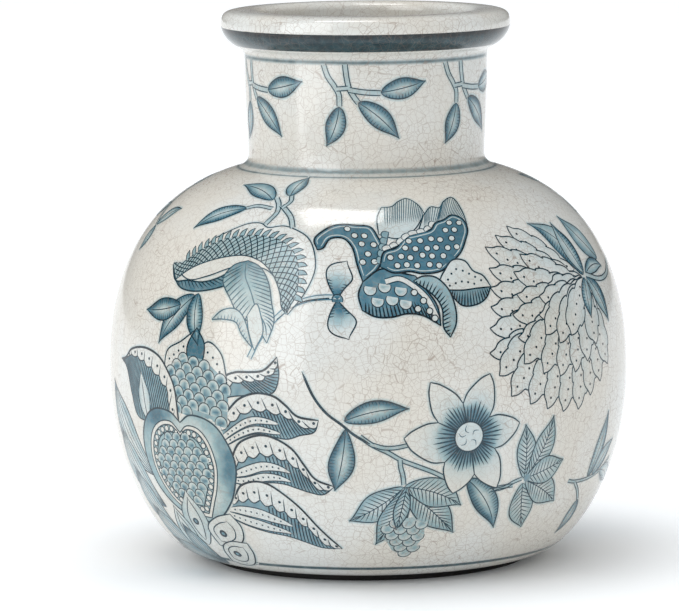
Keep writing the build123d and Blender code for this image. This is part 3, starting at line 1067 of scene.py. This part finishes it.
def scalloped(art, top, bottom, scallops, ribs=((0.54, 0.76), (0.78, 0.98)), band=0.42, hatched=(0.4, 0.95)):
    """A curling leaf between two curves from its root to its tip: a white band with scallops and dots
    along the top, dotted ribs at the root, and a dark hatched underside."""
    at = between(top, bottom)
    along = np.linspace(0, 1, 80)
    upper, under = at(along, 0.0), at(along, 1.0)
    art.halo(upper, 1)
    art.fill(closed(upper, under), 0.48)
    count = int((hatched[1] - hatched[0]) * lengths(under)[-1] / 1.25)
    for start in np.linspace(*hatched, count):
        line = at(np.linspace(start - 0.03, start + 0.02, 6), np.linspace(band, 1, 6))
        art.stroke(line, 0.5, 0.92, (1, 0.6))
    art.stroke(under, 0.5, 0.92)
    for low, high in ribs:
        centre = (low + high) / 2
        half = (high - low) / 2 * np.sqrt(1 - along ** 3)
        edges = [at(along * 0.58, centre + side * half) for side in (-1, 1)]
        art.fill(np.vstack([edges[0], edges[1][-2::-1]]), 0.06)
        art.strokes(edges, 0.45, 0.88)
        art.dots(at(along[8:66] * 0.58, centre), 2.3, 0.38, 0.85)
    reach = band + (1 - band) * np.clip((along - 0.74) / 0.22, 0, 1)
    lower = np.clip(reach * (0.84 + 0.22 * np.abs(np.sin(math.pi * scallops * along))), 0, 1)
    art.fill(closed(upper, at(along, lower)), 0.04)
    art.stroke(at(along, lower), 0.5, 0.92)
    for k in range(1, scallops):
        u = k / scallops
        deep = np.interp(u, along, lower)
        art.stroke(at(np.linspace(u, u - 0.025, 6), np.linspace(deep, deep * 0.3, 6)), 0.45, 0.9, (1, 0.2))
    for k in range(scallops):
        u = (k + 0.5) / scallops
        art.dot(at(u, np.interp(u, along, lower) * 0.5), 0.6, 0.9)
    art.stroke(upper, 0.85, 0.97)


def pierced(art, root, tip, width, eye):
    """A pale petal with nested outlines round a dark eye."""
    left, middle, right = leaf_edges(root, tip, width, 0.0, 0.5)
    art.fill(closed(left, right), near(middle, 0.08, 0.3, width / 2))
    for share in (1.0, 0.62):
        for edge in (left, right):
            line = middle + (edge - middle) * share
            art.stroke(eye + (line - eye) * (0.4 + 0.6 * share), 0.5, 0.88)
    art.eye(eye, 0.8, 0.9, 0.9, 0.55)


def long_petal(art, root, tip, width):
    """A long petal with lines along it that meet at both ends."""
    left, middle, right = leaf_edges(root, tip, width, 0.08, 0.55)
    art.fill(closed(left, right), near(middle, 0.12, 0.42, width / 2))
    art.strokes([middle + (left - middle) * share for share in (-0.66, -0.33, 0.0, 0.33, 0.66)], 0.42, 0.75)
    art.strokes((left, right), 0.55, 0.88)


def rind_tone(points):
    """The tone of the pomegranate's rind: paler in the middle, darker at the right and under the leaf."""
    ring = np.linalg.norm(points - [-4, -2], axis=1)
    shadow = np.exp(-((points[:, 0] - 15) / 6) ** 2 - ((points[:, 1] + 2) / 12) ** 2)
    cap = np.exp(-((points[:, 0] + 20) / 9) ** 2 - ((points[:, 1] - 17) / 5) ** 2)
    return 0.16 + 0.22 * np.clip((ring - 17) / 6, 0, 1) + 0.34 * shadow + 0.3 * cap


def pomegranate(art):
    """The cut fruit: a rind, a rim of seeds and a heart of scales."""
    art.shape([[(-5.5, 16), (0, 19.3), (8, 18.4), (14, 14.6), (18.5, 7), (19.5, 0), (17.5, -7), (14, -14),
                (7, -21.5)], [(0, -25), (-9, -24.5), (-19, -20), (-27, -12), (-31, -2), (-31, 8), (-27, 16),
                              (-20, 20), (-11, 19.6)]], rind_tone, 0.7, 0.9)
    heart = join(curve([(-6, 12), (-2, 15), (4, 14.2), (8.6, 9), (10.6, 0), (8.5, -9), (5, -16), (1, -23)]),
                 curve([(1, -23), (-8, -22), (-17, -18), (-24, -9), (-26.5, 1), (-24, 10), (-18, 15),
                        (-11, 15.8), (-6, 12)]))
    core = np.array([-7, -2])
    art.halo(heart, 1, 1.6, 0.4)
    for size, tone in ((1.0, 0.03), (0.91, 0.34), (0.76, 0.36)):
        ring = core + (heart - core) * size
        art.fill(ring[:-1], tone)
        art.stroke(ring, 0.5, 0.88, (1, 1))
    for seed in resampled(core + (heart - core) * 0.835, 2.9)[:-1]:
        art.eye(seed, 0.95, 0.4, 0.9, 0.06)
    art.scales(core + (heart - core) * 0.74, 2.5, 95, 0.12, 0.64, 0.9)


def bloom(side, angle):
    """The largest motif: a cut pomegranate under a dome of scales, with curling leaves at its right."""
    art = Painting(f"{side}_bloom", angle - 42, -28)
    for root, tip, width in (((-27, -8), (-60, 27), 17), ((-27, -22), (-56, 10), 15),
                             ((-24, -34), (-48, -6), 13), ((-16, -44), (-41, -22), 12),
                             ((-6, -50), (-38, -38), 11)):
        long_petal(art, root, tip, width)
    scalloped(art, [(14, 28), (17, 35), (22, 37.4), (28, 37.8), (33.3, 38.5), (36.5, 41), (39, 44)],
              [(16, 26), (20, 28), (28, 29), (34, 29.5), (38.5, 31), (40.2, 37), (39, 44)], 7, ())
    scalloped(art, [(14, 18), (19, 23), (24, 27.6), (31, 30), (38, 29.2), (43, 25.8), (47.5, 21.8),
                    (55.5, 20.5)],
              [(17, 9), (24, 12.5), (31, 14.5), (38, 13.5), (43, 13), (48, 14.6), (53.5, 16),
               (55.5, 20.5)], 8)
    scalloped(art, [(18, 3), (21.3, 9), (25.3, 12), (32, 14), (38, 13), (44.3, 9), (48, 3), (51.5, -2.8),
                    (58, -5.6)],
              [(17, -6), (24, -6.8), (31, -5), (38, -5), (43, -6.5), (48, -8.2), (53, -9), (58, -5.6)], 9)
    scalloped(art, [(16, -12), (20, -7), (26.3, -4.8), (32, -5.6), (38, -10), (43, -16), (47, -24),
                    (52, -34)],
              [(10, -21), (17, -24.5), (25, -27), (33, -28.5), (39, -31), (44, -33.5), (48, -34),
               (52, -34)], 10)
    art.shape([[(-14, 34), (-12.5, 43), (-5, 47.2)], [(1.8, 52), (2, 44), (-2, 38)]], 0.05, 0.6)
    art.dots(curve([(-11, 40), (-6, 43.5), (-1, 47)]), 3.4)
    art.shape([[(4, 44), (9, 48), (15.5, 43.5)], [(18.5, 34), (12, 34), (5, 38)]], 0.05, 0.6)
    art.dots(curve([(9, 44), (13, 41), (15, 37)]), 3.4)
    art.shape([[(-1, 40), (-1.5, 46)], [(2.5, 53), (7, 47), (6, 40)]], 0.62, 0.6, 0.95)
    dome = np.array([(-14, 20), (-14, 33), (-8, 39), (0, 42), (8, 41), (15, 36), (19, 27), (18, 16), (8, 19),
                     (0, 20)], float)
    art.fill(dome, 0.4)
    art.scales(dome, 2.8, 80, 0.14, 0.66, 0.92)
    scalloped(art, [(-49, 36), (-44, 37), (-38.6, 40.8), (-28, 42.5), (-18, 40.4), (-11.7, 35),
                    (-7.6, 28), (-6, 15)],
              [(-49, 36), (-42.7, 33), (-38, 23.5), (-34, 15.5), (-24, 14), (-15, 13), (-6, 15)],
              10, (), 0.24, (0.04, 0.9))
    edges = leaf_edges((-26, 15), (-30, 33), 8, 0.0, 0.45)
    art.fill(closed(edges[0], edges[2]), near(edges[1], 0.06, 0.3, 4))
    art.strokes([edges[k][:-3] for k in (0, 2, 1)], 0.45, 0.85)
    pomegranate(art)
    pierced(art, (-9, -38), (-9.5, -11.5), 14, np.array([-9.4, -26]))
    pierced(art, (-16, -45), (-21, -20), 11, np.array([-18.5, -32]))
    long_petal(art, (-6, -49), (-20, -28), 9)
    for eye, runs in (((3.4, -30.2), [[(-2, -37), (-3.5, -28), (3, -22.5)],
                                      [(11, -20), (14, -26), (11.5, -33), (4, -37)]]),
                      ((4.5, -41), [[(-2, -47), (-1, -38), (5, -34)],
                                    [(13, -34), (13, -40), (9, -47), (3, -49)]])):
        lines = art.shape(runs, 0.08, 0.6)
        art.strokes([eye + (line - eye) * 0.62 for line in lines], 0.5, 0.85)
        art.eye(eye, 0.8, 1.0, 0.9, 0.5)
    art.finish()


MOTIFS = (bloom, flower_branch, star_leaf, right_sprig, shoulder_sprig, chrysanthemum, peony, pod)


def painting():
    """Everything that is painted on the glaze."""
    bands()
    for number in range(6):
        neck_sprig(number, -12 + 60 * number)
    for side, angle in (("front", 0), ("back", 180)):
        for motif in MOTIFS:
            motif(side, angle)


# ---------------------------------------------------------------- room, light and camera

def placed(name, data):
    """A new object in the scene."""
    piece = bpy.data.objects.new(name, data)
    bpy.context.scene.collection.objects.link(piece)
    return piece


def floor():
    """A plain pale floor, which carries on out of sight and glows a little away from the vase."""
    half = 9.0
    corner_points = [(-half, -half, 0), (half, -half, 0), (half, half, 0), (-half, half, 0)]
    mesh = bpy.data.meshes.new("floor")
    mesh.from_pydata(corner_points, [], [(0, 1, 2, 3)])
    shader = Shader("floor")
    distance = shader.add("VectorMath", {0: shader.add("TexCoord").outputs["Object"]}, operation="LENGTH")
    glow = shader.ranged(distance.outputs["Value"], 0.08, 0.16, 0.04, 0.25)
    shader.shade(Base_Color=(0.93, 0.945, 0.96, 1), Roughness=0.5, Specular_IOR_Level=0.2,
                 Emission_Color=(0.92, 0.97, 1.0, 1), Emission_Strength=glow)
    mesh.materials.append(shader.material)
    placed("floor", mesh)


def panel(name, centre, target, size, power, seen_in_gloss):
    """A rectangular soft light that faces a target. One seen in the gloss gives only its reflection,
    and any other only lights the scene."""
    data = bpy.data.lights.new(name, "AREA")
    data.shape = "RECTANGLE"
    data.size, data.size_y = size
    data.energy = power
    lamp = placed(name, data)
    lamp.location = centre
    lamp.rotation_euler = (Vector(target) - Vector(centre)).to_track_quat("-Z", "Y").to_euler()
    lamp.visible_diffuse = not seen_in_gloss
    lamp.visible_glossy = seen_in_gloss
    lamp.visible_camera = False


def room():
    """White light from all round, stronger from one direction, and darker where the gloss mirrors it."""
    brightest, average, swing, mirrored = (-0.60, -0.12, 0.79), 0.64, 0.66, 0.15
    world = bpy.data.worlds.new("room")
    world.use_nodes = True
    tree = Nodes(world.node_tree)
    where = tree.add("TexCoord").outputs["Generated"]
    facing = tree.add("VectorMath", {0: where, 1: brightest}, operation="DOT_PRODUCT").outputs["Value"]
    level = tree.add("MapRange", {"Value": facing, "From Min": -1.0, "To Min": average - swing,
                                  "To Max": average + swing}).outputs["Result"]
    in_gloss = tree.add("LightPath").outputs["Is Glossy Ray"]
    strength = tree.add("Mix", {"Factor": in_gloss, "A": level, "B": mirrored}).outputs["Result"]
    background = tree.nodes["Background"]
    background.inputs["Color"].default_value = (1, 1, 1, 1)
    tree.put(background.inputs["Strength"], strength)
    bpy.context.scene.world = world


def light():
    """A white room, brightest at the upper left, with two panels that the gloss mirrors and a soft key."""
    room()
    panel("left_panel", (-0.75, -0.875, 1.0), (0.0, -0.875, 1.0), (1.15, 1.95), 23, seen_in_gloss=True)
    panel("overhead_panel", (-0.165, 0.17, 1.5), (-0.165, 0.17, 0.0), (0.55, 0.45), 6.5, seen_in_gloss=True)
    panel("key", (-0.45, -0.6, 2.3), (0.0, 0.0, 0.1), (1.2, 1.2), 7.5, seen_in_gloss=False)


def camera():
    """A long lens in front, a little above the vase and looking slightly down."""
    down, roll = 7.17, 0.456  # degrees
    data = bpy.data.cameras.new("camera")
    data.lens = 263.8
    data.sensor_width = 36.0
    data.shift_x = -0.0342
    data.clip_end = 50.0
    eye = placed("camera", data)
    eye.location = (0.0, -1.9366, 0.3418)
    eye.rotation_mode = "XYZ"
    eye.rotation_euler = (math.radians(90 - down), math.radians(roll), 0.0)
    bpy.context.scene.camera = eye


bpy.context.scene.view_settings.view_transform = "Standard"
glazed_body()
painting()
floor()
light()
camera()
